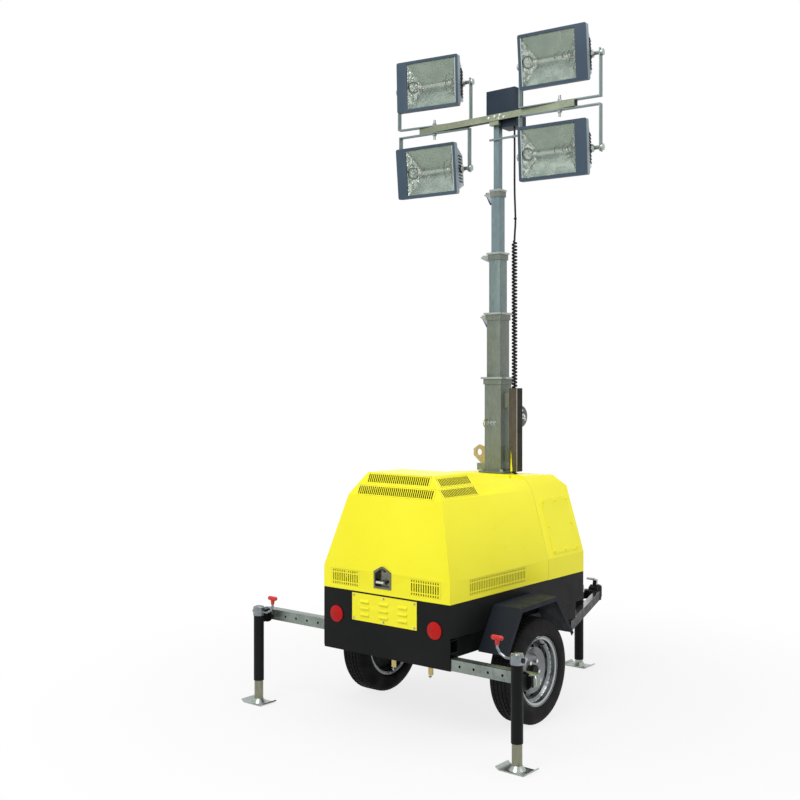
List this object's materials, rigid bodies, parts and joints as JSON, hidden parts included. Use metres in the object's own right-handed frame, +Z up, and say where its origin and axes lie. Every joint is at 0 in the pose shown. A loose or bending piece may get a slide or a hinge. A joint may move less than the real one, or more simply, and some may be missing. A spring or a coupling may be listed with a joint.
{
  "type": "mobile light tower",
  "caption": "Mobile light tower on a single-axle trailer: hooded generator body, telescopic square mast, floodlights on a crossbar, outrigger jacks and drawbar.",
  "frame": {"origin": "on the ground under the middle of the whole machine's box", "axes": "+Y is the towing direction, +X the right-hand side, +Z up"},
  "size_m": [1.992, 2.52, 3.9633],
  "materials": {
    "yellow_paint": "gloss powder coat",
    "black_paint": "satin powder coat",
    "galvanised": "hot-dip galvanised",
    "zinc": "bright zinc plate",
    "stainless": "pressed stainless",
    "tyre": "moulded rubber",
    "rim_silver": "silver paint",
    "lamp_grey": "slate grey paint",
    "lamp_glass": "clear toughened",
    "red_plastic": "moulded red",
    "red_lens": "ribbed red lens",
    "black_plastic": "moulded black",
    "cord_black": "black sheath",
    "engine_grey": "dark enamel"
  },
  "bodies": {
    "trailer": {"base_tub": "black_paint", "front_cowl": "yellow_paint", "hood_hinge_pins": "zinc", "access_panel": "yellow_paint", "engine_block": "engine_grey", "plate_panel": "yellow_paint", "tail_lamps": "red_lens", "chassis_rails": "black_paint", "chassis_crossmembers": "black_paint", "outrigger_sleeves": "black_paint", "drawbar_leg_right": "black_paint", "drawbar_leg_left": "black_paint", "tow_coupling": "black_paint", "axle": "black_paint", "mudguard_right": "black_paint", "mudguard_left": "black_paint", "front_jack": "black_paint", "mast_1": "galvanised", "lifting_eye": "galvanised", "cable_trough": "galvanised", "winch": "zinc", "curly_cord": "cord_black"},
    "hood": {"hood_shell": "yellow_paint", "upper_grilles": "yellow_paint", "lower_vents": "yellow_paint", "hood_latch": "stainless", "hood_hinge_leaves": "zinc"},
    "mast_2": {"mast_2": "galvanised"},
    "mast_3": {"mast_3": "galvanised"},
    "mast_4": {"mast_4": "galvanised"},
    "mast_5": {"mast_5": "galvanised", "lamp_bar": "galvanised", "junction_box": "black_plastic", "cable_support": "galvanised", "mast_cable": "cord_black"},
    "front_jack_leg": {"front_jack_leg": "zinc"},
    "wheel_right": {"wheel_rim_right": "rim_silver", "tyre_right": "tyre"},
    "outrigger_right": {"outrigger_arm_right": "zinc"},
    "rear_jack_right": {"rear_jack_right": "black_paint", "jack_knob_right": "red_plastic"},
    "jack_leg_right": {"jack_leg_right": "zinc"},
    "wheel_left": {"wheel_rim_left": "rim_silver", "tyre_left": "tyre"},
    "outrigger_left": {"outrigger_arm_left": "zinc"},
    "rear_jack_left": {"rear_jack_left": "black_paint", "jack_knob_left": "red_plastic"},
    "jack_leg_left": {"jack_leg_left": "zinc"},
    "yoke_top_left": {"yoke_top_left": "galvanised"},
    "lamp_top_left": {"lamp_top_left": "lamp_grey", "lamp_glass_top_left": "lamp_glass"},
    "yoke_bottom_left": {"yoke_bottom_left": "galvanised"},
    "lamp_bottom_left": {"lamp_bottom_left": "lamp_grey", "lamp_glass_bottom_left": "lamp_glass"},
    "yoke_top_right": {"yoke_top_right": "galvanised"},
    "lamp_top_right": {"lamp_top_right": "lamp_grey", "lamp_glass_top_right": "lamp_glass"},
    "yoke_bottom_right": {"yoke_bottom_right": "galvanised"},
    "lamp_bottom_right": {"lamp_bottom_right": "lamp_grey", "lamp_glass_bottom_right": "lamp_glass"}
  },
  "joints": [
    {"name": "hood_hinge", "type": "hinge", "parent": "trailer", "child": "hood", "pos_m": [0, -0.174, 1.327], "axis": [-1, 0, 0], "range_deg": [0, 50]},
    {"name": "mast_2_slide", "type": "slide", "parent": "trailer", "child": "mast_2", "axis": [0, 0, 1], "range_m": [-0.295, 0.85]},
    {"name": "mast_3_slide", "type": "slide", "parent": "trailer", "child": "mast_3", "axis": [0, 0, 1], "range_m": [-0.59, 1.7]},
    {"name": "mast_4_slide", "type": "slide", "parent": "trailer", "child": "mast_4", "axis": [0, 0, 1], "range_m": [-0.885, 2.55]},
    {"name": "mast_5_slide", "type": "slide", "parent": "trailer", "child": "mast_5", "axis": [0, 0, 1], "range_m": [-1.18, 3.4], "deforming": ["curly_cord"]},
    {"name": "pan_top_left", "type": "hinge", "parent": "mast_5", "child": "yoke_top_left", "pos_m": [-0.466, -0.067, 3.53], "axis": [0, 0, 1], "range_deg": [-55, 35]},
    {"name": "tilt_top_left", "type": "hinge", "parent": "yoke_top_left", "child": "lamp_top_left", "pos_m": [-0.466, -0.067, 3.805], "axis": [0.9848, 0.1736, 0], "range_deg": [-22, 58]},
    {"name": "pan_bottom_left", "type": "hinge", "parent": "mast_5", "child": "yoke_bottom_left", "pos_m": [-0.466, -0.067, 3.53], "axis": [0, 0, 1], "range_deg": [-51, 39]},
    {"name": "tilt_bottom_left", "type": "hinge", "parent": "yoke_bottom_left", "child": "lamp_bottom_left", "pos_m": [-0.466, -0.067, 3.255], "axis": [0.9945, 0.1045, 0], "range_deg": [-26, 54]},
    {"name": "pan_top_right", "type": "hinge", "parent": "mast_5", "child": "yoke_top_right", "pos_m": [0.466, -0.067, 3.53], "axis": [0, 0, 1], "range_deg": [-51, 39]},
    {"name": "tilt_top_right", "type": "hinge", "parent": "yoke_top_right", "child": "lamp_top_right", "pos_m": [0.466, -0.067, 3.805], "axis": [0.9945, 0.1045, 0], "range_deg": [-26, 54]},
    {"name": "pan_bottom_right", "type": "hinge", "parent": "mast_5", "child": "yoke_bottom_right", "pos_m": [0.466, -0.067, 3.53], "axis": [0, 0, 1], "range_deg": [-51, 39]},
    {"name": "tilt_bottom_right", "type": "hinge", "parent": "yoke_bottom_right", "child": "lamp_bottom_right", "pos_m": [0.466, -0.067, 3.255], "axis": [0.9945, 0.1045, 0], "range_deg": [-24, 56]},
    {"name": "outrigger_slide_right", "type": "slide", "parent": "trailer", "child": "outrigger_right", "axis": [1, 0, 0], "range_m": [-0.33, 0.1]},
    {"name": "jack_swivel_right", "type": "hinge", "parent": "outrigger_right", "child": "rear_jack_right", "pos_m": [0.904, -1.14, 0.422], "axis": [0, 1, 0], "range_deg": [0, 90]},
    {"name": "jack_leg_slide_right", "type": "slide", "parent": "rear_jack_right", "child": "jack_leg_right", "axis": [0, 0, -1], "range_m": [-0.1, 0.2]},
    {"name": "wheel_spin_right", "type": "hinge", "parent": "trailer", "child": "wheel_right", "pos_m": [0.5325, -0.515, 0.2925], "axis": [1, 0, 0], "continuous": true},
    {"name": "outrigger_slide_left", "type": "slide", "parent": "trailer", "child": "outrigger_left", "axis": [-1, 0, 0], "range_m": [-0.33, 0.1]},
    {"name": "jack_swivel_left", "type": "hinge", "parent": "outrigger_left", "child": "rear_jack_left", "pos_m": [-0.904, -1.14, 0.512], "axis": [0, -1, 0], "range_deg": [0, 90]},
    {"name": "jack_leg_slide_left", "type": "slide", "parent": "rear_jack_left", "child": "jack_leg_left", "axis": [0, 0, -1], "range_m": [-0.1, 0.2]},
    {"name": "wheel_spin_left", "type": "hinge", "parent": "trailer", "child": "wheel_left", "pos_m": [-0.5325, -0.515, 0.2925], "axis": [1, 0, 0], "continuous": true},
    {"name": "front_jack_slide", "type": "slide", "parent": "trailer", "child": "front_jack_leg", "axis": [0, 0, -1], "range_m": [-0.012, 0.25]}
  ],
  "couplings": [
    {"joint": "mast_3_slide", "follows": "mast_2_slide", "ratio": 2},
    {"joint": "mast_4_slide", "follows": "mast_2_slide", "ratio": 3},
    {"joint": "mast_5_slide", "follows": "mast_2_slide", "ratio": 4}
  ]
}
